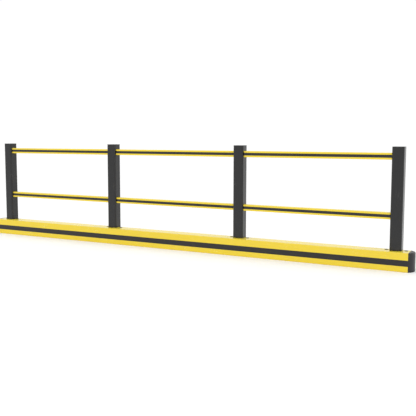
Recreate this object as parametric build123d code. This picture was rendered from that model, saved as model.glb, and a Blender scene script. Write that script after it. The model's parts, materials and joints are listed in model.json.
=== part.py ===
from build123d import *
from math import asin, cos, sin, sqrt
import os

# ---------------------------------------------------------------------------
# Three-bay pedestrian guard rail.  Millimetres, +Z up.
# Origin: floor level, middle of the length, middle of the kerb's depth.
# +X runs along the rail, -Y is the front (striped) side.
# ---------------------------------------------------------------------------

# overall
height_total = 1100.0          # floor to top of post cap
bay = 1538.0                   # post centre to post centre
n_posts = 4

# kerb rail (low impact rail on the floor)
kerb_w = 177.0                 # depth, along Y
kerb_h = 173.0                 # height
kerb_wall = 6.0
kerb_r = 8.0                   # outer edge radius
kerb_ri = 3.0                  # inner edge radius
kerb_back_r = 20.0             # outer radius of the upper rear edge
kerb_back_ri = 14.0            # inner radius there
kerb_overhang = 123.0          # end post centre to end of the yellow extrusion
kerb_stripe_z0 = 52.5          # black stripe on the front face
kerb_stripe_z1 = 107.0
kerb_stripe_t = 3.0

# kerb end caps: bow-shaped in plan
cap_len = 48.0                 # shows beyond the extrusion, at the middle of the bow
cap_top_r = 12.0               # rounding of the top edge
cap_foot_r = 8.0               # rounding of the bottom edge
cap_wall = 6.0
cap_flange = 4.0               # flat flange against the extrusion's end
cap_plug_len = 15.0            # hollow plug inside the extrusion
cap_plug_wall = 5.0

# posts
post_w = 107.0
post_wall = 7.0
post_r = 17.0
post_ri = 10.0
post_y = 27.5                  # post centre, behind the kerb's centre line
post_slot_gap = 0.5            # gap round the post where it goes through the kerb top
post_cap_t = 6.0
post_cap_plug = 25.0
post_cap_plug_wall = 4.0

# rails
rail_w = 61.5
rail_wall = 5.0
rail_r = 5.0
rail_ri = 2.0
rail_in_post = 35.0            # how far a rail end reaches into a post
rail_slide = 0.3               # play at the sides and top of the rail in its window
top_rail_z = 1014.0            # centre heights
mid_rail_z = 480.5
rail_stripe_w = 27.0
rail_stripe_t = 2.5
stripe_edge = 0.5              # small bevel along each stripe's outer edges

# post feet (steel plate and spigot tube)
foot_l = 210.0
foot_w = 104.0
foot_t = 10.0
foot_corner_r = 10.0
spigot_w = 92.0
spigot_wall = 5.0
spigot_r = 9.5
spigot_top = 400.0
anchor_dx = 87.0               # anchor hole, either side of the post centre
anchor_r = 9.0                 # hole for an M16 floor anchor

# cover plugs over the anchor access holes in the kerb top
access_r = 14.2                # lets the 24 mm hexagon of an M16 anchor through
plug_head_r = 15.5
plug_head_h = 4.5
plug_rim_h = 2.8
plug_stem_len = 16.0
plug_stem_wall = 3.0

# post locking screws (button head, through the rear wall of the post)
screw_z = 240.0
screw_r = 5.0
screw_head_r = 9.5
screw_head_h = 5.2
screw_len = 20.0
screw_hex = 6.0                # socket, across flats
screw_hex_depth = 3.0

# ---------------------------------------------------------------------------
half_len = (n_posts - 1) * bay / 2.0
post_xs = [-half_len + i * bay for i in range(n_posts)]
kerb_half = half_len + kerb_overhang
post_front = post_y - post_w / 2.0
post_back = post_y + post_w / 2.0
post_bottom = kerb_wall + foot_t
post_top = height_total - post_cap_t
kerb_front = -kerb_w / 2.0
rail_front = post_y - rail_w / 2.0


def box(x0, x1, y0, y1, z0, z1):
    return Pos((x0 + x1) / 2.0, (y0 + y1) / 2.0, (z0 + z1) / 2.0) * Box(x1 - x0, y1 - y0, z1 - z0)


def profile_x(w, h, r):
    """Rounded rectangle in the YZ plane, w along Y and h along Z."""
    return Plane.YZ * RectangleRounded(w, h, r)


def bar_x(x0, x1, yc, zc, w, h, r):
    """Rounded square bar along X."""
    bar = extrude(profile_x(w, h, r), amount=x1 - x0)
    return Pos(x0, yc, zc) * bar


def kerb_bar(x0, x1, w, h, r, r_back):
    """Bar along X with the kerb's section: radius r, and r_back on the upper rear edge."""
    def corner(part, y, z):
        return [e for e in part.edges()
                if abs(e.center().Y - y) < 1e-3 and abs(e.center().Z - z) < 1e-3]

    low, high = (kerb_h - h) / 2.0, (kerb_h + h) / 2.0
    bar = box(x0, x1, -w / 2.0, w / 2.0, low, high)
    bar = fillet(corner(bar, -w / 2.0, low) + corner(bar, -w / 2.0, high)
                 + corner(bar, w / 2.0, low), r)
    return fillet(corner(bar, w / 2.0, high), r_back)


def bar_z(xc, yc, z0, z1, w, d, r):
    """Rounded square bar along Z."""
    return Pos(xc, yc, z0) * extrude(RectangleRounded(w, d, r), amount=z1 - z0)


def cyl_z(xc, yc, z0, z1, r):
    return Pos(xc, yc, (z0 + z1) / 2.0) * Cylinder(r, z1 - z0)


def one(shape, name):
    """Keep the single solid of a boolean result."""
    solids = shape.solids()
    if len(solids) != 1:
        raise ValueError(f"{name}: {len(solids)} solids")
    return solids[0]


parts = {}

# --- kerb rail --------------------------------------------------------------
kerb = kerb_bar(-kerb_half, kerb_half, kerb_w, kerb_h, kerb_r, kerb_back_r)
kerb -= kerb_bar(-kerb_half - 1, kerb_half + 1,
                 kerb_w - 2 * kerb_wall, kerb_h - 2 * kerb_wall, kerb_ri, kerb_back_ri)
kerb -= box(-kerb_half - 1, kerb_half + 1, kerb_front - 1, kerb_front + kerb_stripe_t,
            kerb_stripe_z0, kerb_stripe_z1)
for x in post_xs:
    # window for the post in the top wall
    kerb -= bar_z(x, post_y, kerb_h - kerb_back_r - 1, kerb_h + 1,
                  post_w + 2 * post_slot_gap, post_w + 2 * post_slot_gap, post_r)
    for s in (-1, 1):
        kerb -= cyl_z(x + s * anchor_dx, post_y, kerb_h - kerb_wall - 1, kerb_h + 1, access_r)
        kerb -= cyl_z(x + s * anchor_dx, post_y, -1, kerb_wall + 1, anchor_r)
parts["kerb_rail"] = one(kerb, "kerb_rail")


def stripe(x0, x1, y_front, t, z0, z1):
    """Flat strip lying in a groove, its two long outer edges slightly bevelled."""
    e = stripe_edge
    with BuildPart() as p:
        with BuildSketch(Plane.YZ.offset(x0)):
            with BuildLine():
                Polyline((y_front + t, z0), (y_front + t, z1), (y_front + e, z1),
                         (y_front, z1 - e), (y_front, z0 + e), (y_front + e, z0), close=True)
            make_face()
        extrude(amount=x1 - x0)
    return p.part.solids()[0]


parts["kerb_stripe"] = stripe(-kerb_half, kerb_half, kerb_front, kerb_stripe_t,
                              kerb_stripe_z0, kerb_stripe_z1)


# --- kerb end caps ----------------------------------------------------------
def end_cap(side):
    """Hollow moulded cap: bow-shaped outer shell and a square plug inside the extrusion."""
    x0 = kerb_half
    y = kerb_w / 2.0
    bow = (y * y + cap_len * cap_len) / (2.0 * cap_len)      # plan radius of the bow
    xc = x0 + cap_len - bow                                   # its centre

    def shell(inset, top_r, foot_r):
        """Upright body between the joint plane and the bow, set in by a wall thickness."""
        r = bow - inset
        half = sqrt(r * r - (x0 - xc) ** 2)
        plan = make_face([Line((x0, half), (x0, -half)),
                          ThreePointArc((x0, -half), (xc + r, 0), (x0, half))])
        body = Pos(0, 0, inset) * extrude(plan, amount=kerb_h - 2 * inset)
        for z, rad in ((kerb_h - inset, top_r), (inset, foot_r)):
            rim = [e for e in body.edges()
                   if e.geom_type == GeomType.CIRCLE and abs(e.center().Z - z) < 1e-3]
            body = fillet(rim, rad)
        return body

    cap = shell(0.0, cap_top_r, cap_foot_r)
    inner = shell(cap_wall, cap_top_r - cap_wall, cap_foot_r - cap_wall + 0.5)
    cap -= inner & box(x0 + cap_flange, x0 + cap_len, -y, y, 0, kerb_h)
    # plug: square tube that reaches into the extrusion, open through the flange
    pw, ph = kerb_w - 2 * kerb_wall, kerb_h - 2 * kerb_wall
    back_ri = kerb_back_ri - cap_plug_wall
    cap += kerb_bar(x0 - cap_plug_len, x0 + 1.0, pw, ph, kerb_ri, kerb_back_ri)
    cap -= kerb_bar(x0 - cap_plug_len - 1, x0 + cap_flange + 1.0,
                    pw - 2 * cap_plug_wall - 14.0, ph - 2 * cap_plug_wall, 2.0, back_ri)
    cap -= kerb_bar(x0 - cap_plug_len - 1, x0,
                    pw - 2 * cap_plug_wall, ph - 2 * cap_plug_wall, 2.0, back_ri)
    cap = one(cap, "end_cap")
    return cap if side > 0 else one(mirror(cap, about=Plane.YZ), "end_cap")


parts["kerb_end_cap_right"] = end_cap(1)
parts["kerb_end_cap_left"] = end_cap(-1)

# --- posts, caps, feet ------------------------------------------------------
for i, x in enumerate(post_xs):
    k = i + 1
    post = bar_z(x, post_y, post_bottom, post_top, post_w, post_w, post_r)
    post -= bar_z(x, post_y, post_bottom - 1, post_top + 1,
                  post_w - 2 * post_wall, post_w - 2 * post_wall, post_ri)
    for zc in (mid_rail_z, top_rail_z):
        z0 = zc - rail_w / 2.0
        for s in (-1, 1):
            if (s < 0 and i == 0) or (s > 0 and i == n_posts - 1):
                continue
            wx0 = x + s * (post_w / 2.0 - post_wall - 1)
            wx1 = x + s * (post_w / 2.0 + 1)
            win = bar_x(min(wx0, wx1), max(wx0, wx1), post_y, z0 + rail_w / 2.0 + rail_slide,
                        rail_w + 2 * rail_slide, rail_w + 2 * rail_slide, rail_r)
            post -= win
    post -= Pos(x, post_back - post_wall / 2.0, screw_z) * Rot(90, 0, 0) * Cylinder(screw_r, post_wall + 2)
    parts[f"post_{k}"] = one(post, f"post_{k}")

    cap = bar_z(x, post_y, post_top, height_total, post_w, post_w, post_r)
    top_edges = [e for e in cap.edges() if abs(e.center().Z - height_total) < 1e-3]
    cap = fillet(top_edges, 2.0)
    skirt_w = post_w - 2 * post_wall
    cap = cap + bar_z(x, post_y, post_top - post_cap_plug, post_top, skirt_w, skirt_w, post_ri)
    cap -= bar_z(x, post_y, post_top - post_cap_plug - 1, post_top - 0.5,
                 skirt_w - 2 * post_cap_plug_wall, skirt_w - 2 * post_cap_plug_wall, 2.0)
    parts[f"post_cap_{k}"] = one(cap, f"post_cap_{k}")

    z0, z1 = kerb_wall, kerb_wall + foot_t
    foot = bar_z(x, post_y, z0, z1, foot_l, foot_w, foot_corner_r)
    tube = bar_z(x, post_y, z1, spigot_top, spigot_w, spigot_w, spigot_r)
    foot = foot + tube
    foot -= bar_z(x, post_y, z1, spigot_top + 1, spigot_w - 2 * spigot_wall,
                  spigot_w - 2 * spigot_wall, spigot_r - spigot_wall)
    for s in (-1, 1):
        foot -= cyl_z(x + s * anchor_dx, post_y, z0 - 1, z1 + 1, anchor_r)
    spigot_back = post_y + spigot_w / 2.0
    foot -= Pos(x, spigot_back - spigot_wall / 2.0, screw_z) * Rot(90, 0, 0) * Cylinder(screw_r, spigot_wall + 2)
    parts[f"post_foot_{k}"] = one(foot, f"post_foot_{k}")

# --- rails and their stripes ------------------------------------------------
for level, zc in (("top", top_rail_z), ("mid", mid_rail_z)):
    for b in range(n_posts - 1):
        x0 = post_xs[b] + post_w / 2.0 - rail_in_post
        x1 = post_xs[b + 1] - post_w / 2.0 + rail_in_post
        rail = bar_x(x0, x1, post_y, zc, rail_w, rail_w, rail_r)
        rail -= bar_x(x0 - 1, x1 + 1, post_y, zc, rail_w - 2 * rail_wall, rail_w - 2 * rail_wall, rail_ri)
        rail -= box(x0 - 1, x1 + 1, rail_front - 1, rail_front + rail_stripe_t,
                    zc - rail_stripe_w / 2.0, zc + rail_stripe_w / 2.0)
        parts[f"{level}_rail_{b + 1}"] = one(rail, f"{level}_rail_{b + 1}")
        parts[f"{level}_rail_stripe_{b + 1}"] = stripe(
            x0, x1, rail_front, rail_stripe_t, zc - rail_stripe_w / 2.0, zc + rail_stripe_w / 2.0)

# --- cover plugs over the anchor access holes -------------------------------
def turned(points, dome_top):
    """Turned solid about Z.  points run from the axis out to the dome's rim as
    (radius, height); the dome is an arc from the last point up to (0, dome_top)."""
    a, zr = points[-1]
    rise = dome_top - zr
    big = (a * a + rise * rise) / (2.0 * rise)
    half = asin(a / big) / 2.0
    mid = (big * sin(half), dome_top - big + big * cos(half))
    edges = [Line(p, q) for p, q in zip(points[:-1], points[1:])]
    edges.append(ThreePointArc(points[-1], mid, (0, dome_top)))
    edges.append(Line((0, dome_top), points[0]))
    face = Plane.XZ * make_face(edges)
    return revolve(face, axis=Axis.Z).solids()[0]


# domed head on a thin rim, hollow stem that grips the hole
plug = turned([(0, kerb_h + 1.0), (access_r - plug_stem_wall, kerb_h + 1.0),
               (access_r - plug_stem_wall, kerb_h - plug_stem_len),
               (access_r - 1.0, kerb_h - plug_stem_len),
               (access_r, kerb_h - plug_stem_len + 2.0),
               (access_r, kerb_h), (plug_head_r, kerb_h),
               (plug_head_r, kerb_h + plug_rim_h)], kerb_h + plug_head_h)
plugs = []
for x in post_xs:
    for s in (-1, 1):
        plugs.append(Pos(x + s * anchor_dx, post_y, 0) * plug)
parts["anchor_cover_plugs"] = Compound(children=plugs)

# --- post locking screws ----------------------------------------------------
# shank, then a domed head with a hexagon socket
screw = turned([(0, -screw_len), (screw_r - 1.0, -screw_len), (screw_r, -screw_len + 1.0),
                (screw_r, 0), (screw_head_r, 0), (screw_head_r, 1.2)], screw_head_h)
socket = extrude(RegularPolygon(screw_hex / 2.0, 6, major_radius=False), amount=screw_hex_depth + 1)
screw = one(screw - Pos(0, 0, screw_head_h - screw_hex_depth) * socket, "screw")
screws = []
for x in post_xs:
    # local +Z points to +Y (rear)
    screws.append(Pos(x, post_back, screw_z) * Rot(-90, 0, 0) * screw)
parts["post_locking_screws"] = Compound(children=screws)

# ---------------------------------------------------------------------------
os.makedirs("parts", exist_ok=True)
for name, shape in parts.items():
    export_step(shape, f"parts/{name}.step")

print(len(parts), "nodes")
print("kerb length", 2 * kerb_half, "overall", 2 * (kerb_half + cap_len))
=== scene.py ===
import bpy
import json
import math
from mathutils import Matrix, Vector

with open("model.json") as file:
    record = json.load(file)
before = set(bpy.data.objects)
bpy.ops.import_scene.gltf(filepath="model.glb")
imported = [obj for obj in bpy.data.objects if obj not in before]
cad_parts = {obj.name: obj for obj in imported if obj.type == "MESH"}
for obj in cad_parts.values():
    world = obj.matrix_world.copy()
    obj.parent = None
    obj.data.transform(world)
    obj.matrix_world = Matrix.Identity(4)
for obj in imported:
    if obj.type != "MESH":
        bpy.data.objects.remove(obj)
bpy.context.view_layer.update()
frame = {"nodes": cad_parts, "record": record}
NODES = frame["nodes"]
scene = bpy.context.scene

# ---------------------------------------------------------------------------
# camera: the photograph's viewpoint (focal length in pixels of a 416 px frame)
# ---------------------------------------------------------------------------
F_PX = 632.939
PITCH = math.radians(5.39475)     # looks down
YAW = math.radians(28.0889)       # turned towards -X
CAM_AT = Vector((3.3623, -5.7677, 1.1969))

sy, cy, sp, cp = math.sin(YAW), math.cos(YAW), math.sin(PITCH), math.cos(PITCH)
fwd = Vector((-sy * cp, cy * cp, -sp))
up = Vector((-sy * sp, cy * sp, cp))
right = Vector((cy, sy, 0.0))
cam_data = bpy.data.cameras.new("camera")
cam_data.sensor_fit = "HORIZONTAL"
cam_data.sensor_width = 36.0
cam_data.lens = F_PX / 416.0 * 36.0
cam_data.shift_x = 0.02890        # the frame is cut a little off centre
cam_data.shift_y = -0.03047
cam_data.clip_start = 0.05
cam_data.clip_end = 200.0
cam = bpy.data.objects.new("camera", cam_data)
scene.collection.objects.link(cam)
rot = Matrix((right, up, -fwd)).transposed().to_4x4()
cam.matrix_world = Matrix.Translation(CAM_AT) @ rot
scene.camera = cam


# ---------------------------------------------------------------------------
# materials
# ---------------------------------------------------------------------------
class Mat:
    """Small helper round one material's node tree."""

    def __init__(self, name):
        m = bpy.data.materials.new(name)
        m.use_nodes = True
        self.m = m
        self.nt = m.node_tree
        self.nt.nodes.clear()
        self.out = self.nt.nodes.new("ShaderNodeOutputMaterial")
        self.bsdf = self.nt.nodes.new("ShaderNodeBsdfPrincipled")
        self.nt.links.new(self.bsdf.outputs["BSDF"], self.out.inputs["Surface"])
        self.co = self.nt.nodes.new("ShaderNodeTexCoord").outputs["Object"]
        self.x = 0

    def link(self, a, b):
        self.nt.links.new(a, b)

    def scaled(self, sx, sy_, sz):
        n = self.nt.nodes.new("ShaderNodeMapping")
        n.inputs["Scale"].default_value = (sx, sy_, sz)
        self.link(self.co, n.inputs["Vector"])
        return n.outputs["Vector"]

    def noise(self, vec, scale=1.0, detail=2.0, rough=0.5, dist=0.0):
        n = self.nt.nodes.new("ShaderNodeTexNoise")
        n.inputs["Scale"].default_value = scale
        n.inputs["Detail"].default_value = detail
        n.inputs["Roughness"].default_value = rough
        n.inputs["Distortion"].default_value = dist
        self.link(vec, n.inputs["Vector"])
        return n.outputs["Fac"]

    def voronoi(self, vec, scale=1.0, feature="F1", out="Distance"):
        n = self.nt.nodes.new("ShaderNodeTexVoronoi")
        n.feature = feature
        n.inputs["Scale"].default_value = scale
        self.link(vec, n.inputs["Vector"])
        return n.outputs[out]

    def ramp(self, fac, stops):
        n = self.nt.nodes.new("ShaderNodeValToRGB")
        cr = n.color_ramp
        while len(cr.elements) < len(stops):
            cr.elements.new(0.5)
        for e, (p, c) in zip(cr.elements, stops):
            e.position = p
            e.color = c if len(c) == 4 else (*c, 1.0)
        self.link(fac, n.inputs["Fac"])
        return n.outputs["Color"]

    def rng(self, fac, a, b, lo, hi):
        n = self.nt.nodes.new("ShaderNodeMapRange")
        n.inputs["From Min"].default_value = a
        n.inputs["From Max"].default_value = b
        n.inputs["To Min"].default_value = lo
        n.inputs["To Max"].default_value = hi
        self.link(fac, n.inputs["Value"])
        return n.outputs["Result"]

    def math(self, op, a, b):
        n = self.nt.nodes.new("ShaderNodeMath")
        n.operation = op
        for i, v in enumerate((a, b)):
            if isinstance(v, (int, float)):
                n.inputs[i].default_value = v
            else:
                self.link(v, n.inputs[i])
        return n.outputs["Value"]

    def mix(self, fac, a, b, blend="MIX"):
        n = self.nt.nodes.new("ShaderNodeMix")
        n.data_type = "RGBA"
        n.blend_type = blend
        n.clamp_result = True
        fi, ai, bi = n.inputs[0], n.inputs[6], n.inputs[7]
        if isinstance(fac, (int, float)):
            fi.default_value = fac
        else:
            self.link(fac, fi)
        for sock, v in ((ai, a), (bi, b)):
            if isinstance(v, tuple):
                sock.default_value = v if len(v) == 4 else (*v, 1.0)
            else:
                self.link(v, sock)
        return n.outputs[2]

    def parts(self, vec):
        """The three absolute components of a vector."""
        n = self.nt.nodes.new("ShaderNodeSeparateXYZ")
        self.link(vec, n.inputs["Vector"])
        return [self.math("ABSOLUTE", n.outputs[i], 0.0) for i in range(3)]

    def edges(self, lo=0.04, hi=0.22):
        """0 on faces square to an axis, 1 on the rounded edges between them."""
        nrm = self.nt.nodes.new("ShaderNodeNewGeometry").outputs["Normal"]
        a, b, c = self.parts(nrm)
        flat = self.math("MAXIMUM", self.math("MAXIMUM", a, b), c)
        return self.rng(self.math("SUBTRACT", 1.0, flat), lo, hi, 0.0, 1.0)

    def rim(self):
        """1 on the rounding between an upright wall and a level top or bottom, 0 on both of them."""
        nrm = self.nt.nodes.new("ShaderNodeNewGeometry").outputs["Normal"]
        c = self.parts(nrm)[2]
        return self.math("MULTIPLY", self.rng(c, 0.12, 0.35, 0.0, 1.0), self.rng(c, 0.93, 0.995, 1.0, 0.0))

    def top(self):
        """1 on faces that look up."""
        n = self.nt.nodes.new("ShaderNodeSeparateXYZ")
        self.link(self.nt.nodes.new("ShaderNodeNewGeometry").outputs["Normal"], n.inputs["Vector"])
        return self.rng(n.outputs["Z"], 0.85, 0.99, 0.0, 1.0)

    def scratches(self, sx, sy_, sz, width, gate_scale, gate_lo, gate_hi):
        """Thin wandering lines, only in some places."""
        f = self.noise(self.scaled(sx, sy_, sz), 1.0, 2.0, 0.5, 0.4)
        line = self.rng(self.math("ABSOLUTE", self.math("SUBTRACT", f, 0.5), 0.0), 0.0, width, 1.0, 0.0)
        gate = self.rng(self.noise(self.scaled(gate_scale, gate_scale, gate_scale), 1.0, 2.0, 0.5), gate_lo, gate_hi, 0.0, 1.0)
        return self.math("MULTIPLY", line, gate)

    def height(self):
        """Height above the floor, in metres."""
        return self.parts(self.co)[2]

    def bump(self, height, dist, strength=1.0, normal=None):
        n = self.nt.nodes.new("ShaderNodeBump")
        n.inputs["Strength"].default_value = strength
        n.inputs["Distance"].default_value = dist
        self.link(height, n.inputs["Height"])
        if normal is not None:
            self.link(normal, n.inputs["Normal"])
        return n.outputs["Normal"]


def yellow(name):
    """Extruded yellow polymer: even colour with slow drift, die lines along X, light scuffs,
    edges rubbed pale in places."""
    m = Mat(name)
    slow = m.noise(m.scaled(1.3, 6.0, 6.0), 1.0, 3.0, 0.55)
    base = m.ramp(slow, [(0.25, (0.830, 0.618, 0.0285)), (0.5, (0.855, 0.643, 0.0325)), (0.75, (0.875, 0.664, 0.0375))])
    streak = m.noise(m.scaled(0.55, 150.0, 150.0), 1.0, 3.0, 0.6)
    base = m.mix(m.rng(streak, 0.35, 0.7, 0.0, 0.30), base, (0.805, 0.590, 0.027))
    # upper faces painted paler: a painted highlight for the light the level tops catch, varied a little with the slow
    # drift
    base = m.mix(m.math("MULTIPLY", m.top(), m.rng(slow, 0.3, 0.7, 0.50, 0.70)), base, (0.865, 0.722, 0.038))
    # rubbed, slightly darker scuff marks, longer along the rail
    spot = m.noise(m.scaled(14.0, 46.0, 46.0), 1.0, 5.0, 0.62, 0.6)
    mask = m.rng(spot, 0.66, 0.74, 0.0, 1.0)
    base = m.mix(m.math("MULTIPLY", mask, 0.35), base, (0.58, 0.40, 0.055))
    # fine pale scratches, lying mostly along the bar
    cut = m.scratches(5.0, 38.0, 38.0, 0.010, 6.0, 0.54, 0.66)
    base = m.mix(m.math("MULTIPLY", cut, 0.60), base, (0.90, 0.76, 0.26))
    # edges rubbed pale and dull in patches
    rub = m.math("MULTIPLY", m.edges(), m.rng(m.noise(m.scaled(9.0, 34.0, 34.0), 1.0, 5.0, 0.65), 0.46, 0.60, 0.0, 1.0))
    base = m.mix(m.math("MULTIPLY", rub, 0.55), base, (0.88, 0.76, 0.20))
    m.link(base, m.bsdf.inputs["Base Color"])
    r = m.rng(slow, 0.2, 0.8, 0.17, 0.23)
    r = m.math("ADD", r, m.rng(streak, 0.3, 0.7, -0.02, 0.04))
    r = m.math("ADD", r, m.math("MULTIPLY", mask, 0.16))
    r = m.math("ADD", r, m.math("MULTIPLY", m.math("MAXIMUM", rub, cut), 0.22))
    m.link(r, m.bsdf.inputs["Roughness"])
    peel = m.noise(m.scaled(90.0, 210.0, 210.0), 1.0, 2.0, 0.5)
    n = m.bump(streak, 0.00010)
    n = m.bump(peel, 0.00004, 1.0, n)
    n = m.bump(m.math("SUBTRACT", 1.0, cut), 0.00006, 1.0, n)
    m.link(n, m.bsdf.inputs["Normal"])
    m.bsdf.inputs["IOR"].default_value = 1.50
    return m.m


def black_extruded(name, base_lo, base_hi, axis, rough, dusty=False):
    """Black extruded polymer: die lines along one axis, faint dusty bloom, gloss, a few grey
    scuffs, and rounded edges rubbed grey in places."""
    m = Mat(name)
    s = [240.0, 240.0, 240.0]
    s["XYZ".index(axis)] = 1.1
    streak = m.noise(m.scaled(*s), 1.0, 3.0, 0.6)
    slow = m.noise(m.scaled(3.0, 3.0, 3.0), 1.0, 4.0, 0.55)
    base = m.ramp(slow, [(0.3, base_lo), (0.7, base_hi)])
    base = m.mix(m.rng(streak, 0.35, 0.70, 0.0, 0.5), base, tuple(v * 1.35 for v in base_hi))
    spot = m.noise(m.scaled(30.0, 30.0, 30.0), 1.0, 5.0, 0.62, 0.5)
    mask = m.rng(spot, 0.66, 0.76, 0.0, 1.0)
    base = m.mix(m.math("MULTIPLY", mask, 0.30), base, (0.026, 0.025, 0.024))
    # long thin scratches along the bar
    t = [34.0, 34.0, 34.0]
    t["XYZ".index(axis)] = 4.0
    cut = m.scratches(t[0], t[1], t[2], 0.010, 5.0, 0.54, 0.68)
    base = m.mix(m.math("MULTIPLY", cut, 0.65), base, (0.060, 0.059, 0.058))
    # rubbed edges
    w = [30.0, 30.0, 30.0]
    w["XYZ".index(axis)] = 7.0
    rub = m.math("MULTIPLY", m.edges(0.10, 0.27), m.rng(m.noise(m.scaled(*w), 1.0, 5.0, 0.65), 0.48, 0.62, 0.0, 1.0))
    base = m.mix(m.math("MULTIPLY", rub, 0.50), base, (0.050, 0.049, 0.049))
    # a little floor dust low down
    if dusty:
        low = m.math("MULTIPLY", m.rng(m.height(), 0.17, 0.42, 1.0, 0.0),
                     m.rng(m.noise(m.scaled(26.0, 26.0, 26.0), 1.0, 5.0, 0.7), 0.42, 0.70, 0.0, 0.22))
        base = m.mix(low, base, (0.048, 0.044, 0.038))
    m.link(base, m.bsdf.inputs["Base Color"])
    r = m.rng(slow, 0.25, 0.75, rough - 0.03, rough + 0.03)
    r = m.math("ADD", r, m.rng(streak, 0.3, 0.7, -0.02, 0.03))
    r = m.math("ADD", r, m.math("MULTIPLY", mask, 0.12))
    r = m.math("ADD", r, m.math("MULTIPLY", m.math("MAXIMUM", rub, cut), 0.18))
    m.link(r, m.bsdf.inputs["Roughness"])
    peel = m.noise(m.scaled(230.0, 230.0, 230.0), 1.0, 2.0, 0.5)
    n = m.bump(streak, 0.00010)
    n = m.bump(peel, 0.00003, 1.0, n)
    n = m.bump(m.math("SUBTRACT", 1.0, cut), 0.00005, 1.0, n)
    m.link(n, m.bsdf.inputs["Normal"])
    m.bsdf.inputs["IOR"].default_value = 1.50
    return m.m


def black_moulded(name, rough=0.36):
    """Black moulded polymer: fine eroded grain, a little dusty in the grain, grey knocks,
    rims burnished by rubbing."""
    m = Mat(name)
    grain = m.noise(m.scaled(620.0, 620.0, 620.0), 1.0, 3.0, 0.6)
    slow = m.noise(m.scaled(9.0, 9.0, 9.0), 1.0, 4.0, 0.55)
    base = m.ramp(slow, [(0.3, (0.007, 0.007, 0.0075)), (0.7, (0.012, 0.012, 0.013))])
    base = m.mix(m.rng(grain, 0.45, 0.75, 0.0, 0.5), base, (0.020, 0.0195, 0.0195))
    knock = m.rng(m.noise(m.scaled(42.0, 42.0, 42.0), 1.0, 5.0, 0.65, 0.5), 0.66, 0.74, 0.0, 1.0)
    base = m.mix(m.math("MULTIPLY", knock, 0.35), base, (0.045, 0.044, 0.043))
    cut = m.scratches(22.0, 22.0, 60.0, 0.010, 12.0, 0.52, 0.62)
    base = m.mix(m.math("MULTIPLY", cut, 0.5), base, (0.060, 0.058, 0.057))
    rub = m.math("MULTIPLY", m.rim(), m.rng(m.noise(m.scaled(48.0, 48.0, 48.0), 1.0, 4.0, 0.6), 0.46, 0.62, 0.0, 1.0))
    base = m.mix(m.math("MULTIPLY", rub, 0.50), base, (0.045, 0.044, 0.044))
    m.link(base, m.bsdf.inputs["Base Color"])
    r = m.math("ADD", m.rng(slow, 0.25, 0.75, rough, rough + 0.08), m.rng(grain, 0.3, 0.7, -0.04, 0.06))
    r = m.math("ADD", r, m.math("MULTIPLY", rub, -0.10))
    r = m.math("ADD", r, m.math("MULTIPLY", m.math("MAXIMUM", knock, cut), 0.10))
    m.link(r, m.bsdf.inputs["Roughness"])
    n = m.bump(grain, 0.00010)
    n = m.bump(m.math("SUBTRACT", 1.0, cut), 0.00008, 1.0, n)
    m.link(n, m.bsdf.inputs["Normal"])
    m.bsdf.inputs["IOR"].default_value = 1.50
    return m.m


def zinc(name, tint):
    """Zinc plated steel: faint spangle and cloudy bloom."""
    m = Mat(name)
    cell = m.voronoi(m.scaled(70.0, 70.0, 70.0), 1.0, "F1", "Color")
    grey = m.nt.nodes.new("ShaderNodeRGBToBW")
    m.link(cell, grey.inputs["Color"])
    cloud = m.noise(m.scaled(25.0, 25.0, 25.0), 1.0, 4.0, 0.6)
    base = m.ramp(grey.outputs["Val"], [(0.2, tuple(v * 0.86 for v in tint)), (0.8, tint)])
    base = m.mix(m.rng(cloud, 0.45, 0.7, 0.0, 0.35), base, tuple(v * 0.72 for v in tint))
    rub = m.math("MULTIPLY", m.edges(0.03, 0.2), m.rng(cloud, 0.40, 0.60, 0.0, 1.0))
    base = m.mix(m.math("MULTIPLY", rub, 0.5), base, tuple(min(v * 1.3, 0.85) for v in tint))
    m.link(base, m.bsdf.inputs["Base Color"])
    r = m.math("ADD", m.rng(cloud, 0.3, 0.7, 0.30, 0.46), m.math("MULTIPLY", rub, -0.10))
    m.link(r, m.bsdf.inputs["Roughness"])
    fine = m.noise(m.scaled(900.0, 900.0, 900.0), 1.0, 2.0, 0.5)
    m.link(m.bump(fine, 0.00003), m.bsdf.inputs["Normal"])
    m.bsdf.inputs["Metallic"].default_value = 1.0
    return m.m


M_YELLOW = yellow("yellow_polymer_skin")
M_STRIPE = black_extruded("black_stripe_skin", (0.0055, 0.0051, 0.0049), (0.0090, 0.0083, 0.0078), "X", 0.36)
M_POST = black_extruded("black_post_skin", (0.0030, 0.0030, 0.0032), (0.0054, 0.0054, 0.0058), "Z", 0.26, True)
M_CAP = black_moulded("black_cap_skin")
M_PLUG = black_moulded("black_plug_skin", 0.15)      # small plugs, polished mould
M_ZINC = zinc("zinc_steel_skin", (0.62, 0.63, 0.65))
M_SCREW = zinc("screw_zinc_skin", (0.55, 0.56, 0.58))

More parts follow.
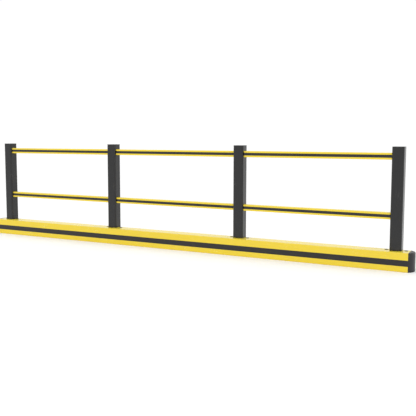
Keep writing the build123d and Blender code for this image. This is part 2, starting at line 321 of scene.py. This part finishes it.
SKIN = {"yellow_polymer": M_YELLOW, "black_stripe": M_STRIPE, "black_post": M_POST,
        "black_cap": M_CAP, "zinc_steel": M_ZINC, "screw_steel": M_SCREW}
SLOT = {s["node"]: s["material_slot"] for s in frame["record"]["subparts"]}
for name, obj in NODES.items():
    skin = M_PLUG if name == "anchor_cover_plugs" else SKIN[SLOT[name]]
    obj.data.materials.clear()
    obj.data.materials.append(skin)

# ---------------------------------------------------------------------------
# floor and light
# ---------------------------------------------------------------------------
fl = Mat("floor_paint")
speck = fl.noise(fl.scaled(1.5, 1.5, 1.5), 1.0, 3.0, 0.5)
fl.link(fl.ramp(speck, [(0.3, (0.93, 0.93, 0.93)), (0.7, (0.94, 0.94, 0.94))]), fl.bsdf.inputs["Base Color"])
fl.bsdf.inputs["Roughness"].default_value = 0.9
fl.bsdf.inputs["Emission Color"].default_value = (1.0, 1.0, 1.0, 1.0)
fl.bsdf.inputs["Emission Strength"].default_value = 0.09
me = bpy.data.meshes.new("floor")
s = 60.0
me.from_pydata([(-s, -s, 0), (s, -s, 0), (s, s, 0), (-s, s, 0)], [], [(0, 1, 2, 3)])
me.materials.append(fl.m)
floor = bpy.data.objects.new("floor", me)
floor.location = (0, 0, 0)
scene.collection.objects.link(floor)

world = bpy.data.worlds.new("studio")
world.use_nodes = True
bg = world.node_tree.nodes["Background"]
bg.inputs["Color"].default_value = (1.0, 1.0, 1.0, 1.0)
bg.inputs["Strength"].default_value = 1.02
scene.world = world


def area(name, at, to, size, watts):
    d = bpy.data.lights.new(name, "AREA")
    d.shape = "SQUARE"
    d.size = size
    d.energy = watts
    o = bpy.data.objects.new(name, d)
    scene.collection.objects.link(o)
    direction = Vector(to) - Vector(at)
    o.location = at
    o.rotation_euler = direction.to_track_quat("-Z", "Y").to_euler()
    return o


area("soft_top", (0.0, -2.0, 7.0), (0.0, 0.0, 0.0), 8.0, 60.0)

scene.view_settings.view_transform = "Standard"
scene.view_settings.look = "None"
scene.view_settings.exposure = 0.0
scene.view_settings.gamma = 1.0
